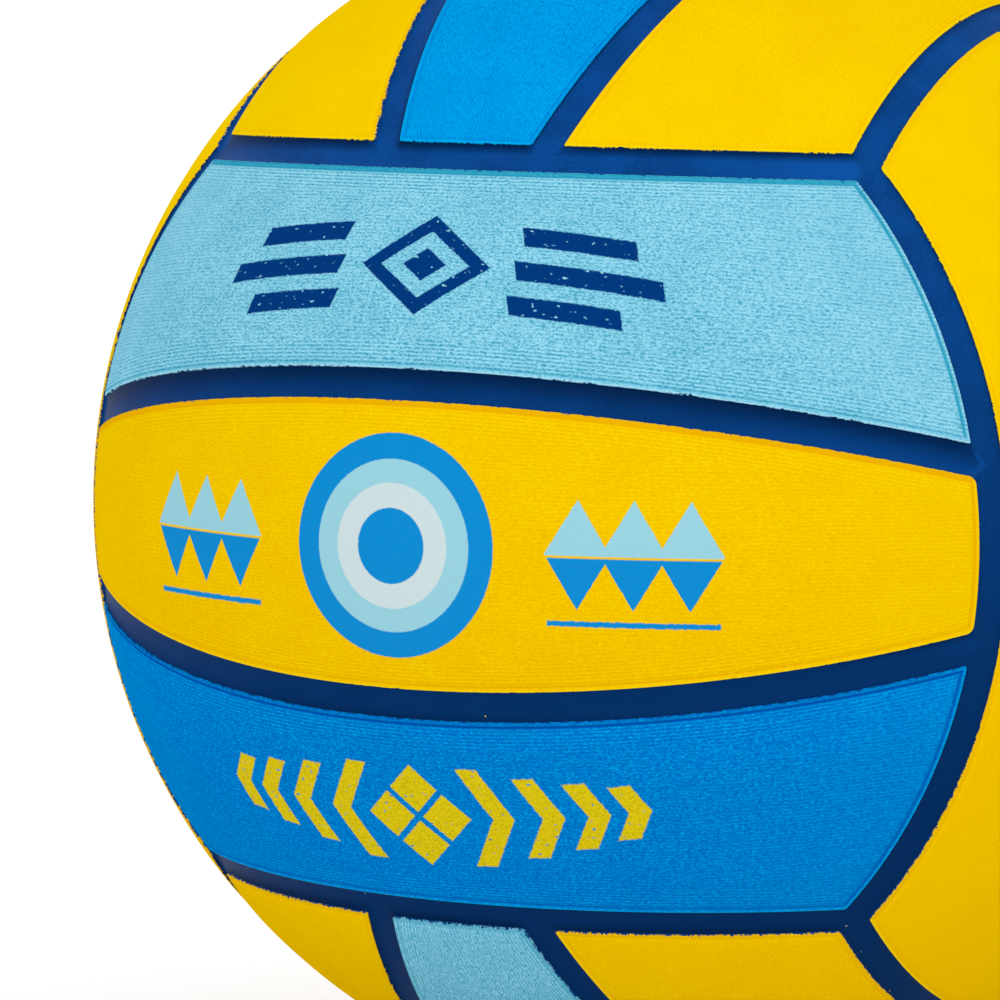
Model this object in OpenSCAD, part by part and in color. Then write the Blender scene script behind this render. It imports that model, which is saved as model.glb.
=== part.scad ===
// Water polo ball: bladder, thread winding, ribbed carcass, eighteen cover panels and needle valve.
// The origin is the ball's centre, +Z is up, -Y is the front and the valve's axis is +Y.

/* [Ball] */
// Diameter over the crowns of the panels
ball_d = 221.2; // [200:0.2:230]
// Depth of the flat that the ball rests on, where its elastic wall gives
contact_flat = 0.5; // [0.2:0.05:0.8]

/* [Layers] */
// Thickness of a cover panel
panel_t = 1.3; // [1:0.05:2]
// Height of the carcass ribs above the seats of the panels
rib_h = 0.45; // [0.2:0.05:0.8]
// Thickness of the carcass under the panels
carcass_t = 0.45; // [0.3:0.05:1]
// Thickness of the wound thread
winding_t = 0.4; // [0.2:0.05:0.8]
// Thickness of the bladder
bladder_t = 0.6; // [0.4:0.05:1.2]
// Bond line between two pieces that are vulcanised together
bond_gap = 0.05; // [0.03:0.01:0.1]

/* [Seams] */
// Width of the channels between the panels
channel_w = 5.3; // [4:0.1:7]
// How far the ends of a group bow out at their middle, in degrees at the ball's centre
end_bow = 9.2; // [4:0.2:9.4]
// Half of a middle panel's angle at the ball's centre, in degrees
strip_half_a = 14.1; // [12:0.1:16]
// Lean of the plane of a strip seam, in degrees
strip_lean = 15.4; // [11:0.1:19]

/* [Panel rims] */
// Drop of a panel's wall below its crown
rim_drop = 0.35; // [0.2:0.05:0.6]
// Distance from the wall to the top of the rim bead
bead_x = 0.4; // [0.3:0.05:0.6]
// Depth of the rim bead's top below the crown
bead_drop = 0.05; // [0.03:0.01:0.1]
// Distance from the wall to the bottom of the rim groove
groove_x = 1.3; // [1:0.1:1.8]
// Depth of the rim groove below the crown
groove_drop = 0.22; // [0.15:0.01:0.3]
// Distance from the wall to where the crown begins
field_x = 2.4; // [2:0.1:4]

/* [Valve body] */
// Diameter of the neck in the ball's wall
neck_d = 9; // [8:0.1:12]
// Depth of the neck's face below the crown
neck_sink = 0.3; // [0.1:0.05:0.6]
// Diameter of the flange bonded inside the bladder
flange_d = 32; // [20:0.5:40]
// Thickness of the flange
flange_t = 0.9; // [0.6:0.1:1.5]
// Diameter of the stem inside the ball
stem_d = 11; // [9.5:0.1:14]
// Diameter of the stem's inner end
stem_end_d = 8.4; // [8:0.1:11]
// Thickness of the wall at the stem's inner end
stem_end_t = 1.6; // [1:0.1:3]
// Diameter of the air hole in the stem's inner end
air_hole_d = 2.5; // [1.5:0.1:4]

/* [Valve core] */
// Diameter of the head
head_d = 5.6; // [5:0.1:7]
// Thickness of the head
head_t = 1.5; // [1:0.1:2]
// Diameter of the shank
shank_d = 4.4; // [4:0.1:4.8]
// Length of the shank
shank_l = 5.6; // [4:0.1:8]
// Diameter of the barb that holds the core in the body
barb_d = 5.6; // [5:0.1:6]
// Length of the barb
barb_l = 5.4; // [4:0.1:8]
// Diameter of the barb's tip
barb_tip_d = 3.8; // [3:0.1:4.8]
// Diameter of the needle bore
needle_bore_d = 2.1; // [1.8:0.05:2.4]
// Length of the needle bore, from the mouth
needle_bore_l = 9; // [7:0.1:10]
// Diameter of the mouth that guides the needle in
mouth_d = 3.2; // [2.6:0.1:4]
// Depth of the mouth
mouth_depth = 0.8; // [0.4:0.1:1.2]
// Width of the slit that seals round the needle
slit_w = 2.4; // [2:0.1:3]
// Gap of the slit
slit_gap = 0.15; // [0.1:0.01:0.3]
// Gap between the core and the body
core_gap = 0.05; // [0.03:0.01:0.1]

/* [Colours] */
// First colour of the panels
yellow = "gold"; // [gold, khaki, orange]
// Second colour of the panels
light_blue = "skyblue"; // [skyblue, lightcyan, turquoise]
// Third colour of the panels
blue = "dodgerblue"; // [dodgerblue, royalblue, teal]
// Colour of the carcass, seen in the channels
navy = "midnightblue"; // [midnightblue, black, darkslategray]

/* [Hidden] */
$fn = 180;
overrun = 1;

// Radii of the layers, from the crown inwards
crown_r = ball_d / 2;
seat_r = crown_r - panel_t;
tray_r = seat_r - bond_gap;
rib_r = tray_r + rib_h;
carcass_in_r = tray_r - carcass_t;
winding_r = carcass_in_r - bond_gap;
winding_in_r = winding_r - winding_t;
bladder_r = winding_in_r - bond_gap;
bladder_in_r = bladder_r - bladder_t;
flange_r = bladder_in_r - bond_gap;
neck_hole_d = neck_d + 2 * bond_gap;

// A group's strips lie along X and side by side in Y, about +Z. Its end seams are small circles
// through the corners of the cube that the six groups make. corner_share is the cosine of the angle
// between the middle of a cube's edge and its corner.
corner_share = sqrt(2 / 3);
end_tilt = atan2(corner_share - cos(end_bow), sin(end_bow));
end_seam_a = acos(corner_share * cos(end_tilt));
end_axis_a = 45 + end_tilt;
strip_seam_a = 90 - (strip_half_a - strip_lean);
strip_axis_a = 90 + strip_lean;

// Turns that place a group on its side of the ball
top_turn = [0, 0, 90];
bottom_turn = [180, 0, 90];
front_turn = [90, 0, 0];
back_turn = [90, 0, 180];
right_turn = [180, -90, 0];
left_turn = [0, -90, 0];
GROUP_TURNS = [top_turn, bottom_turn, front_turn, back_turn, right_turn, left_turn];

// The rest of the valve, measured along its axis from the ball's centre
neck_top = crown_r - neck_sink;
core_l = head_t + shank_l + barb_l;
barb_top = neck_top - head_t - shank_l;
core_tip = neck_top - core_l;
cavity_end = core_tip - core_gap;
stem_end = cavity_end - stem_end_t;
flange_in_r = flange_r - flange_t;
flange_mid_r = flange_r - flange_t / 2;

// Edge of the blocks that cut along a plane
block_w = 2 * ball_d;

// Angle at the ball's centre of a length along the crown
function arc(length) = length * 180 / (PI * crown_r);

// Point at a radius and an angle from a seam's axis, as [distance from the axis, height along it]
function polar(r, a) = [r * sin(a), r * cos(a)];

// Angle from a seam's axis of the panel wall beside it. keep is -1 for the panel on the axis's side of
// the seam and 1 for the other. grow moves the wall out into the channel.
function wall_a(seam_a, keep, grow) = seam_a + keep * arc(channel_w / 2 - grow);

// Point of a rim's profile, x along the crown from the wall at angle a and h above it
function rim_point(a, keep, x, h) = polar(crown_r + h, a + keep * arc(x));

module shell(outer_r, inner_r) {
    difference() {
        sphere(outer_r);
        sphere(inner_r);
    }
}

// A sphere about +Z that meets the crown square along the circle at angle a
module wall_sphere(a) {
    translate([0, 0, crown_r / cos(a)]) sphere(crown_r * tan(a));
}

// A sphere about +Z whose surface is the slope between two points of a rim's profile
module slope_sphere(p, q) {
    centre = (p * p - q * q) / (2 * (p.y - q.y));
    translate([0, 0, centre]) sphere(norm(p - [0, centre]));
}

// Everything under the top of a panel along one seam: the rim's edge, bead, groove and rise to the crown
module under_rim(seam_a, keep) {
    a = wall_a(seam_a, keep, 0);
    edge = rim_point(a, keep, 0, -rim_drop);
    bead = rim_point(a, keep, bead_x, -bead_drop);
    groove = rim_point(a, keep, groove_x, -groove_drop);
    field = rim_point(a, keep, field_x, 0);
    intersection() {
        slope_sphere(edge, bead);
        union() {
            slope_sphere(bead, groove);
            slope_sphere(groove, field);
        }
    }
}

// Everything on one side of a strip seam, up to the panel wall beside it
module beside_strip_seam(keep, grow) {
    wall_z = crown_r * cos(wall_a(strip_seam_a, keep, grow));
    translate([-block_w / 2, -block_w / 2, keep > 0 ? wall_z - block_w : wall_z])
        cube(block_w);
}

// The axes of the seams round a strip: both ends of the group, both strip seams, and the end seam of
// the next group on the +Y side
module on_end_axis(half_turn) {
    rotate([0, 0, half_turn]) rotate([0, end_axis_a, 0]) children();
}

module on_strip_axis(half_turn) {
    rotate([0, 0, half_turn]) rotate([-strip_axis_a, 0, 0]) children();
}

module on_next_axis() {
    rotate([end_axis_a - 90, 0, 0]) children();
}

// The space between the walls of a group's middle strip
module middle_walls(grow) {
    intersection() {
        on_strip_axis(0) beside_strip_seam(1, grow);
        on_strip_axis(180) beside_strip_seam(1, grow);
        on_end_axis(0) wall_sphere(wall_a(end_seam_a, -1, grow));
        on_end_axis(180) wall_sphere(wall_a(end_seam_a, -1, grow));
    }
}

// The space between the walls of the strip on a group's +Y side
module side_walls(grow) {
    difference() {
        intersection() {
            on_strip_axis(0) beside_strip_seam(-1, grow);
            on_end_axis(0) wall_sphere(wall_a(end_seam_a, -1, grow));
            on_end_axis(180) wall_sphere(wall_a(end_seam_a, -1, grow));
        }
        on_next_axis() wall_sphere(wall_a(end_seam_a, 1, grow));
    }
}

module middle_rims() {
    intersection() {
        on_strip_axis(0) under_rim(strip_seam_a, 1);
        on_strip_axis(180) under_rim(strip_seam_a, 1);
        on_end_axis(0) under_rim(end_seam_a, -1);
        on_end_axis(180) under_rim(end_seam_a, -1);
    }
}

module side_rims() {
    intersection() {
        on_strip_axis(0) under_rim(strip_seam_a, -1);
        on_end_axis(0) under_rim(end_seam_a, -1);
        on_end_axis(180) under_rim(end_seam_a, -1);
        on_next_axis() under_rim(end_seam_a, 1);
    }
}

// Turns a strip to its place on the ball. strip is 0 for the middle one of a group, 1 for the one on
// its +Y side and -1 for the one on its -Y side.
module place(turn, strip) {
    rotate(turn) rotate([0, 0, strip < 0 ? 180 : 0]) children();
}

// A cover panel: a strip of the cover's shell with a beaded rim
module panel(turn, strip) {
    intersection() {
        shell(crown_r, seat_r);
        place(turn, strip)
            if (strip == 0) middle_walls(0);
            else side_walls(0);
        place(turn, strip)
            if (strip == 0) middle_rims();
            else side_rims();
    }
}

// The seat of a panel in the carcass, cut through the ribs and a bond line wider than the panel
module tray(turn, strip) {
    intersection() {
        shell(crown_r, tray_r);
        place(turn, strip)
            if (strip == 0) middle_walls(bond_gap);
            else side_walls(bond_gap);
    }
}

// Turns what points along +Z to the valve's axis
module on_valve_axis() {
    rotate([-90, 0, 0]) children();
}

module neck_hole() {
    on_valve_axis() cylinder(d = neck_hole_d, h = crown_r + overrun);
}

module bladder() {
    color("dimgray")
        difference() {
            shell(bladder_r, bladder_in_r);
            neck_hole();
        }
}

module thread_winding() {
    color("ivory")
        difference() {
            shell(winding_r, winding_in_r);
            neck_hole();
        }
}

// One rubber layer whose ribs stand between the panels and are the floors of the channels
module carcass() {
    color(navy)
        difference() {
            shell(rib_r, carcass_in_r);
            for (turn = GROUP_TURNS, strip = [-1:1]) tray(turn, strip);
            neck_hole();
        }
}

// The space for the core in the valve's body, and the air hole at its end
module core_cavity() {
    rotate_extrude()
        polygon([
            [0, neck_top + overrun],
            [head_d / 2 + core_gap, neck_top + overrun],
            [head_d / 2 + core_gap, neck_top - head_t - core_gap],
            [shank_d / 2 + core_gap, neck_top - head_t - core_gap],
            [shank_d / 2 + core_gap, barb_top + core_gap],
            [barb_d / 2 + core_gap, barb_top + core_gap],
            [barb_tip_d / 2 + core_gap, cavity_end],
            [air_hole_d / 2, cavity_end],
            [air_hole_d / 2, stem_end - overrun],
            [0, stem_end - overrun]
        ]);
}

module valve_body() {
    color("black")
        on_valve_axis()
            difference() {
                union() {
                    rotate_extrude()
                        polygon([
                            [0, stem_end],
                            [stem_end_d / 2, stem_end],
                            [stem_d / 2, flange_mid_r],
                            [neck_d / 2, flange_mid_r],
                            [neck_d / 2, neck_top],
                            [0, neck_top]
                        ]);
                    intersection() {
                        shell(flange_r, flange_in_r);
                        cylinder(d = flange_d, h = crown_r);
                    }
                }
                core_cavity();
            }
}

module valve_core() {
    color("dimgray")
        on_valve_axis()
            difference() {
                rotate_extrude()
                    polygon([
                        [0, neck_top],
                        [head_d / 2, neck_top],
                        [head_d / 2, neck_top - head_t],
                        [shank_d / 2, neck_top - head_t],
                        [shank_d / 2, barb_top],
                        [barb_d / 2, barb_top],
                        [barb_tip_d / 2, core_tip],
                        [0, core_tip]
                    ]);
                translate([0, 0, neck_top - needle_bore_l])
                    cylinder(d = needle_bore_d, h = needle_bore_l + overrun);
                translate([0, 0, neck_top - mouth_depth])
                    cylinder(d1 = needle_bore_d, d2 = mouth_d, h = mouth_depth);
                translate([-slit_w / 2, -slit_gap / 2, core_tip - overrun])
                    cube([slit_w, slit_gap, core_l - needle_bore_l + 2 * overrun]);
            }
}

module front_upper_panel() { color(light_blue) panel(front_turn, 1); }
module front_middle_panel() { color(yellow) panel(front_turn, 0); }
module front_lower_panel() { color(blue) panel(front_turn, -1); }
module back_upper_panel() { color(light_blue) panel(back_turn, 1); }
module back_lower_panel() { color(blue) panel(back_turn, -1); }
module right_front_panel() { color(yellow) panel(right_turn, 1); }
module right_middle_panel() { color(light_blue) panel(right_turn, 0); }
module right_rear_panel() { color(yellow) panel(right_turn, -1); }
module left_front_panel() { color(yellow) panel(left_turn, -1); }
module left_middle_panel() { color(blue) panel(left_turn, 0); }
module left_rear_panel() { color(yellow) panel(left_turn, 1); }
module top_left_panel() { color(yellow) panel(top_turn, 1); }
module top_middle_panel() { color(blue) panel(top_turn, 0); }
module top_right_panel() { color(yellow) panel(top_turn, -1); }
module bottom_left_panel() { color(yellow) panel(bottom_turn, -1); }
module bottom_right_panel() { color(yellow) panel(bottom_turn, 1); }

// The panel that the valve's neck comes out of
module back_middle_panel() {
    color(yellow)
        difference() {
            panel(back_turn, 0);
            neck_hole();
        }
}

// The panel that the ball rests on, with the flat that its weight makes
module bottom_middle_panel() {
    color(light_blue)
        difference() {
            panel(bottom_turn, 0);
            translate([-crown_r, -crown_r, -crown_r - overrun])
                cube([ball_d, ball_d, contact_flat + overrun]);
        }
}

bladder();
thread_winding();
carcass();
valve_body();
valve_core();
front_upper_panel();
front_middle_panel();
front_lower_panel();
back_upper_panel();
back_middle_panel();
back_lower_panel();
right_front_panel();
right_middle_panel();
right_rear_panel();
left_front_panel();
left_middle_panel();
left_rear_panel();
top_left_panel();
top_middle_panel();
top_right_panel();
bottom_left_panel();
bottom_middle_panel();
bottom_right_panel();
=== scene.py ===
import math
from collections import namedtuple
from functools import partialmethod

import bpy
import numpy as np
from bpy.props import FloatProperty, FloatVectorProperty, IntProperty, PointerProperty
from bpy.types import Operator, Panel, PropertyGroup
from mathutils import Euler, Matrix, Vector


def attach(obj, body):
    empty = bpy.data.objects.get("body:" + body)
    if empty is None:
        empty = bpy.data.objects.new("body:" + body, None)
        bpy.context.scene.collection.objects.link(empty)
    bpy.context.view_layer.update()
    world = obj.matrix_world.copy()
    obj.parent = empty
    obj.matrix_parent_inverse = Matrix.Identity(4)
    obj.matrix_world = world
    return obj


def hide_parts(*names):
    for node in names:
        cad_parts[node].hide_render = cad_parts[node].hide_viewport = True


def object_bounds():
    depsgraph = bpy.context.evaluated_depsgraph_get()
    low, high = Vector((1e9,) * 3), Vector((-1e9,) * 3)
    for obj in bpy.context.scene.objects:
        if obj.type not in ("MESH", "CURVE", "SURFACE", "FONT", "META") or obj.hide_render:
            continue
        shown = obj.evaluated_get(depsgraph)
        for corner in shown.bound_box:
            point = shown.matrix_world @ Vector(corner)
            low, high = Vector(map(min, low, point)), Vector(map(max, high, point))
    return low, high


bl_info = {
    "name": "Water polo ball",
    "version": (1, 0, 0),
    "blender": (4, 5, 0),
    "location": "3D View > Sidebar > Ball",
    "description": "Cover panels, carcass, valve and studio of an inflated rubber ball",
    "category": "Add Mesh",
}

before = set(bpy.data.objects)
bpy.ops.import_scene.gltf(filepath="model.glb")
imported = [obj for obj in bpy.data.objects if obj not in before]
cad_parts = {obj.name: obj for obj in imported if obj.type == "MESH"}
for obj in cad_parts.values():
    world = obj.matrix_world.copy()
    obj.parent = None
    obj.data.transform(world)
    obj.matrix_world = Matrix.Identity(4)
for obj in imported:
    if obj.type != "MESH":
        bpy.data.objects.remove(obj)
CAD_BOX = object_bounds()
BODY = "root"
MM = 0.001
CROWN_R = (CAD_BOX[1][0] - CAD_BOX[0][0]) / 2

# Turns that place a group of three strips on its side of the ball
TOP, BOTTOM = (0, 0, 90), (180, 0, 90)
FRONT, BACK = (90, 0, 0), (90, 0, 180)
RIGHT, LEFT = (180, -90, 0), (0, -90, 0)

# Each group's turn, and the place, the strip (0 is the middle one) and the colour of its panels
GROUPS = {
    "front": (FRONT, ("upper", 1, "light_blue"), ("middle", 0, "yellow"), ("lower", -1, "blue")),
    "back": (BACK, ("upper", 1, "light_blue"), ("middle", 0, "yellow"), ("lower", -1, "blue")),
    "right": (RIGHT, ("front", 1, "yellow"), ("middle", 0, "light_blue"), ("rear", -1, "yellow")),
    "left": (LEFT, ("front", -1, "yellow"), ("middle", 0, "blue"), ("rear", 1, "yellow")),
    "top": (TOP, ("left", 1, "yellow"), ("middle", 0, "blue"), ("right", -1, "yellow")),
    "bottom": (BOTTOM, ("left", -1, "yellow"), ("middle", 0, "light_blue"), ("right", 1, "yellow")),
}
PANELS = {f"{group}_{place}_panel": (turn, strip, colour)
          for group, (turn, *strips) in GROUPS.items() for place, strip, colour in strips}
VALVE_PANEL, REST_PANEL = "back_middle_panel", "bottom_middle_panel"

# Longest faces across and along a panel's strip, and on the carcass
ROW_STEP, COLUMN_STEP, CARCASS_STEP = 2.2 * MM, 1.5 * MM, 3 * MM
# Grid lines over a panel's rim and over half a channel, as shares of their widths
RIM_SHARES = np.array([0, 0.02, 0.06, 0.1, 0.15, 0.2, 0.3, 0.4, 0.5, 0.6, 0.72, 0.86, 1])
CHANNEL_SHARES = np.array([0, 0.3, 0.52, 0.7, 0.86, 1])
# Width, seen from above, of the wall between a channel's floor and a panel's seat
SEAT_WALL = 0.02 * MM
# Angle searched for the walls on each side of a strip's middle, and number of places in it
SEARCH_ANGLE, SEARCH_PLACES = 1.1, 4001
# Grid lines over the valve's hole and the ring round it, and how far the ring passes the pad
HOLE_LINES, RING_LINES, RING_PAST_PAD = 17, 12, 4 * MM
# Half width of the pad's slope, width of the hole's rounded lip and its drop
PAD_SLOPE, LIP_WIDTH, LIP_DROP = 0.6 * MM, 0.5 * MM, 0.12 * MM
# Length of a ridge's swell along the strip, divided by a whole turn
RIDGE_SWELL = 17 * MM
# Widths over which the way inwards turns at a corner, on a panel and in a channel, and its reach
PANEL_TURN, CHANNEL_TURN, CORNER_REACH = 0.3 * MM, 1.5 * MM, 3 * MM
SHARP_ANGLE = math.radians(50)
# Angle between the middle of a group and the print of its side strips
PRINT_TILT = math.radians(25)
# Smallest length that counts, and smallest number to divide by
MISS, TINY = 1e-9, 1e-12

# Places of the lamps, in metres from the centre of the ball, and their widths
KEY_PLACE, KEY_WIDTH = (1.6, -0.7, 2.1), 0.8
FILL_PLACE, FILL_WIDTH = (0.3, -2.2, 0.15), 0.5
# Way to the light, which says on which side of a wall the materials paint its shade, and where rims get
# painted highlights
SUNNY = np.array(Vector((0.6, -0.5, 2.1)).normalized())
# Gap under the ball, and radii and corners of the floor's rings
FLOOR_GAP, FLOOR_RADII, FLOOR_CORNERS = 0.02 * MM, (0.5, 3, 14), 64
# Width of the camera's sensor in millimetres, and the pixel that shows the centre of the ball
SENSOR_MM, BALL_PX = 36, (703.62, 498.38)

# Strengths in a colour's rubber: of whole ridges, all hollows with their painted shade, the relief, the
# painted shade below, the rim's groove with its painted shade, the growth of that painted shade on the
# sunny side and the walls' ragged edge
Look = namedtuple("Look", "lined contrast depth lower rimmed sunk frayed")
LOOKS = {
    "yellow": Look(0.35, 0.48, 0.35, 0.5, 0.8, 1, 0.35),
    "blue": Look(0.2, 1, 0.9, 0.95, 1, 0, 0.4),
    "light_blue": Look(0.25, 1.2, 1, 0.4, 1, 1, 0.8),
}
# Groups whose panels have materials of their own
KINDS = {FRONT: "_banded", BACK: "_framed", RIGHT: "_side", LEFT: "_side"}

# Prints of the front group, in millimetres from the middle of a strip, mirrored to its other side.
# Upper strip: half sizes of the lozenge, of the hole in it and of the lozenge in the hole
FRAME, FRAME_HOLE, FRAME_CORE = (12.5, 9), (8.6, 6), (4.2, 3)
# Its bars: heights and lengths, start, half width and slant
BARS, BARS_START, BAR_HALF, BAR_SLANT = ((6.2, 20), (0, 26), (-6.2, 20)), 17, 1.7, -0.35
# Middle strip: radii and inks of its discs, one on the other
DISCS = ((19, "ink_mid"), (14.6, "ink_pale"), (10.6, "ink_white"), (6.4, "ink_mid"))
# Its teeth: middles, half size and the heights where the pale and the blue ink end
TEETH, TOOTH, TOOTH_ENDS = (33.5, 43, 52.5), (5.6, 9.2), (-0.2, -0.6)
# Its line: middle and half size
LINE_PLACE, LINE_HALF = (43, -11.6), (14.6, 0.45)
# Lower strip: tips and half heights of its chevrons, half width and slant
CHEVRONS, CHEVRON_HALF, CHEVRON_SLANT = ((16, 9.6), (25, 7.8), (33, 6.4), (40, 5.2)), 2, 0.55
# Its squares, which stand on a corner: middles and half diagonals
SQUARES, SQUARE_HALF = ((0, 5.4), (0, -5.4), (5.4, 0)), (4.6, 4.6)


def number(name, description, value, **kind):
    return FloatProperty(name=name, description=description, default=value, **kind)


def length(name, description, mm):
    return number(name, description, mm * MM, subtype="DISTANCE", unit="LENGTH", precision=5)


def angle(name, description, degrees):
    return number(name, description, math.radians(degrees), subtype="ANGLE", unit="ROTATION")


def paint(name, description, red, green, blue):
    """A colour property. Its default is given as 0 to 255 on a screen and kept as linear light."""
    shades = np.array([red, green, blue]) / 255
    linear = np.where(shades <= 0.04045, shades / 12.92, ((shades + 0.055) / 1.055) ** 2.4)
    return FloatVectorProperty(name=name, description=description, default=linear.tolist(),
                               subtype="COLOR", size=3, min=0, max=1)


class BallSizes(PropertyGroup):
    """Sizes of the cover, as the CAD model has them, and of its fine relief."""
    panel_t: length("Panel thickness", "From the crown to the seat in the carcass", 1.3)
    channel_w: length("Channel width", "Between the walls of two panels", 5.3)
    rib_drop: length("Channel depth", "From the crown to the middle of a channel's floor", 0.95)
    rib_fillet: length("Channel fillet", "Rise of the channel's floor at the panels", 0.5)
    carcass_t: length("Carcass thickness", "Under the panels", 0.45)
    bond_gap: length("Bond line", "Between a panel and its seat", 0.05)
    contact_flat: length("Contact flat", "Depth of the flat that the ball rests on", 0.5)
    end_bow: angle("End bow", "How far the ends of a group bow out", 9.2)
    strip_half: angle("Half strip", "Half of a middle panel's angle at the centre", 14.1)
    strip_lean: angle("Seam lean", "Lean of the plane of a strip seam", 15.4)
    rim_drop: length("Rim drop", "Drop of a panel's wall below its crown", 0.35)
    bead_x: length("Bead distance", "From the wall to the top of the bead", 0.3)
    bead_drop: length("Bead drop", "Depth of the bead's top below the crown", 0.05)
    groove_x: length("Groove distance", "From the wall to the bottom of the groove", 0.9)
    groove_drop: length("Groove drop", "Depth of the groove below the crown", 0.25)
    field_x: length("Rim width", "From the wall to where the crown begins", 1.6)
    corner_r: length("Corner radius", "Of the middle strips at the front and back", 1.2)
    tight_r: length("Tight corner radius", "Of the other strips", 0.45)
    ridge_pitch: length("Ridge pitch", "Between two moulded ridges", 0.66)
    ridge_h: length("Ridge height", "Of the ridges beside the long edges", 0.02)
    ridge_zone: length("Ridge zone", "Width of the ridged border", 8.8)
    neck_hole_d: length("Neck hole", "Diameter of the hole for the valve", 9.1)
    neck_pad_d: length("Neck pad", "Diameter of the smooth pad round the valve", 22)
    neck_pad_drop: length("Pad drop", "Depth of the pad round the valve", 0.12)


class BallColours(PropertyGroup):
    """Colours of the rubber and of the printed bands."""
    # Deep colours fill each rubber's hollows, as its tone with painted shade in them; rim colours are
    # painted shade in the rim's groove
    yellow: paint("Yellow", "Crests of the rubber", 250, 214, 0)
    yellow_deep: paint("Deep yellow", "Its hollows", 240, 178, 0)
    yellow_rim: paint("Yellow rim", "Its rim's groove", 236, 172, 0)
    light_blue: paint("Light blue", "Crests of the rubber", 151, 218, 240)
    light_blue_deep: paint("Deep light blue", "Its hollows", 58, 162, 194)
    light_blue_rim: paint("Light blue rim", "Its rim's groove", 24, 156, 190)
    blue: paint("Blue", "Crests of the rubber", 0, 166, 236)
    blue_deep: paint("Deep blue", "Its hollows", 0, 110, 200)
    blue_rim: paint("Blue rim", "Its rim's groove", 0, 80, 172)
    navy: paint("Navy", "Rubber of the carcass", 8, 68, 138)
    ink_blue: paint("Dark blue ink", "Print on light blue", 2, 55, 123)
    ink_mid: paint("Blue ink", "Print on yellow", 0, 140, 212)
    ink_pale: paint("Pale ink", "Print on yellow", 153, 211, 225)
    ink_white: paint("White ink", "Print on yellow", 206, 224, 227)
    ink_yellow: paint("Yellow ink", "Print on blue", 232, 208, 0)
    valve: paint("Valve black", "Rubber of the valve", 26, 26, 28)
    core: paint("Core grey", "Rubber of the valve's core", 62, 62, 64)
    thread: paint("Thread", "Wound nylon thread", 226, 222, 206)


class StudioSizes(PropertyGroup):
    """Light and camera."""
    world_light: number("Sky", "Strength of the even light", 0.83)
    key_power: number("Key lamp", "Power of the lamp overhead", 9, unit="POWER")
    fill_power: number("Fill lamp", "Power of the lamp in front", 6.5, unit="POWER")
    lens: number("Lens", "Focal length, in millimetres on a 36 mm sensor", 239.15)
    view_px: IntProperty(name="Picture width", description="In pixels", default=1000)
    view_turn: angle("Camera turn", "From the front of the ball towards its right side", 28.21)
    view_rise: angle("Camera rise", "Over the middle of the ball", 5.09)
    view_roll: angle("Camera roll", "About the line of sight", 0.75)
    view_far: length("Camera distance", "From the centre of the ball", 1206.4)


# Shape of the cover

class Wall:
    """A wall of a panel, the circle on the ball at an angle from an axis. side is 1 where the panel
    lies on the axis's side of it, else -1."""

    def __init__(self, axis, angle, side):
        self.axis, self.angle, self.side = np.array(axis, float), angle, side

    def plane(self, inset):
        """Normal and offset of the plane of the circle inset metres inwards of the wall, along the
        crown: the points x with normal . x = offset on the unit ball."""
        return self.side * self.axis, self.side * np.cos(self.angle - self.side * inset / CROWN_R)

    def inset(self, points):
        """Distance of points of the unit ball inwards of the wall, along the crown."""
        return self.side * (self.angle - np.arccos(np.clip(points @ self.axis, -1, 1))) * CROWN_R

    def inwards(self, points):
        """Directions along the ball, at points of the unit ball, that lead inwards of the wall."""
        return unit(self.side * (self.axis - (points @ self.axis)[..., None] * points))


def unit(vectors):
    """The same directions with length 1."""
    return vectors / np.linalg.norm(vectors, axis=-1, keepdims=True)


def strip_walls(sizes, strip):
    """The four walls of a strip, (low, high, left, right), in its group's frame: the strips lie along
    X, side by side in Y, about +Z. The end seams are circles through a cube's corners, which lie
    sqrt(2 / 3) from the Y axis on the unit ball."""
    half = sizes.channel_w / 2 / CROWN_R
    corner = math.sqrt(2 / 3)
    tilt = math.atan2(corner - math.cos(sizes.end_bow), math.sin(sizes.end_bow))
    end_angle = math.acos(corner * math.cos(tilt))
    lean = math.pi / 4 + tilt
    seam_angle = math.pi / 2 - (sizes.strip_half - sizes.strip_lean)
    seam_y, seam_z = math.cos(sizes.strip_lean), -math.sin(sizes.strip_lean)
    left, right = (Wall((way * math.sin(lean), 0, math.cos(lean)), end_angle - half, 1) for way in (-1, 1))
    if strip == 0:
        low, high = (Wall((0, way * seam_y, seam_z), seam_angle + half, -1) for way in (-1, 1))
    else:
        low = Wall((0, seam_y, seam_z), seam_angle - half, 1)
        high = Wall((0, math.cos(lean), math.sin(lean)), end_angle + half, -1)
    return low, high, left, right


class Lines:
    """The grid lines between two opposite walls. The first ones follow one wall at given insets, the
    last ones the other, and those between turn evenly from one to the other."""

    def __init__(self, first, second, direction, insets, step, hole):
        self.first, self.second = first, second
        base = insets[-1]
        turn = np.linspace(-SEARCH_ANGLE, SEARCH_ANGLE, SEARCH_PLACES)
        arc = np.outer(np.sin(turn), direction) + np.outer(np.cos(turn), (0, 0, 1))
        one, other = (arc @ normal - offset for normal, offset in (first.plane(base), second.plane(base)))
        kept = (one >= 0) & (other >= 0)
        turn, share = turn[kept], (one / (one + other))[kept]
        start, end = turn[0] * CROWN_R, turn[-1] * CROWN_R
        places = round_hole(start, end, step, *hole) if hole else even(start, end, step)
        self.weight = np.concatenate([0 * insets, np.interp(places / CROWN_R, turn, share), 1 + 0 * insets])
        self.inset = np.concatenate([insets, base + 0 * places, insets[::-1]])
        self.edge = np.concatenate([insets, np.inf + 0 * places, insets[::-1]])
        self.place = np.concatenate([start - (base - insets), places, end + (base - insets[::-1])])


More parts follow.
